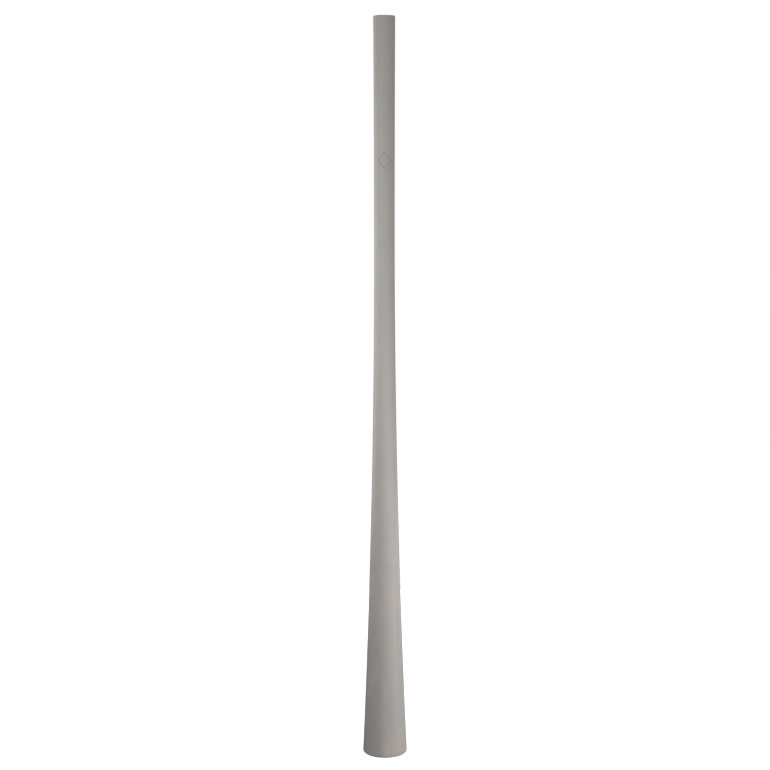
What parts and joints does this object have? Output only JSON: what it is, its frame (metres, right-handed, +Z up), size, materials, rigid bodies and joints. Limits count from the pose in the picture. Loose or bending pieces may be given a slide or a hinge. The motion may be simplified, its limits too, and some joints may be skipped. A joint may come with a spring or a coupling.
{
  "type": "didgeridoo",
  "caption": "Straight hourglass didgeridoo, slim at the mouth and flared at the bell, in satin grey glass laminate with a push-in mouthpiece and a moulded bell ring.",
  "frame": {"origin": "centre of the bell's face, on the surface that the instrument stands on", "axes": "+Z up the air column to the mouth, -Y the front with the mark, +X to the right seen from the front"},
  "size_m": [0.0878, 0.0878, 1.45],
  "materials": {
    "shell_laminate": "satin gelcoat over glass laminate",
    "ring_plastic": "satin, moulded",
    "mouthpiece_plastic": "satin, rounded and smooth for the lips",
    "socket_plastic": "machined, semi-matt",
    "seal_rubber": "matt",
    "glass_tape": "resin-wet woven tape",
    "mark_film": "thin satin film, a shade darker than the tube"
  },
  "bodies": {
    "tube": {"shell_front": "shell_laminate", "shell_back": "shell_laminate", "seam_tape_left": "glass_tape", "seam_tape_right": "glass_tape", "bell_ring": "ring_plastic", "mouth_socket": "socket_plastic", "front_mark": "mark_film"},
    "mouth_end": {"mouthpiece": "mouthpiece_plastic", "mouthpiece_seals": "seal_rubber"}
  },
  "joints": [
    {"name": "mouthpiece_pull", "type": "slide", "parent": "tube", "child": "mouth_end", "axis": [0, 0, 1], "range_m": [0, 0.04]}
  ]
}
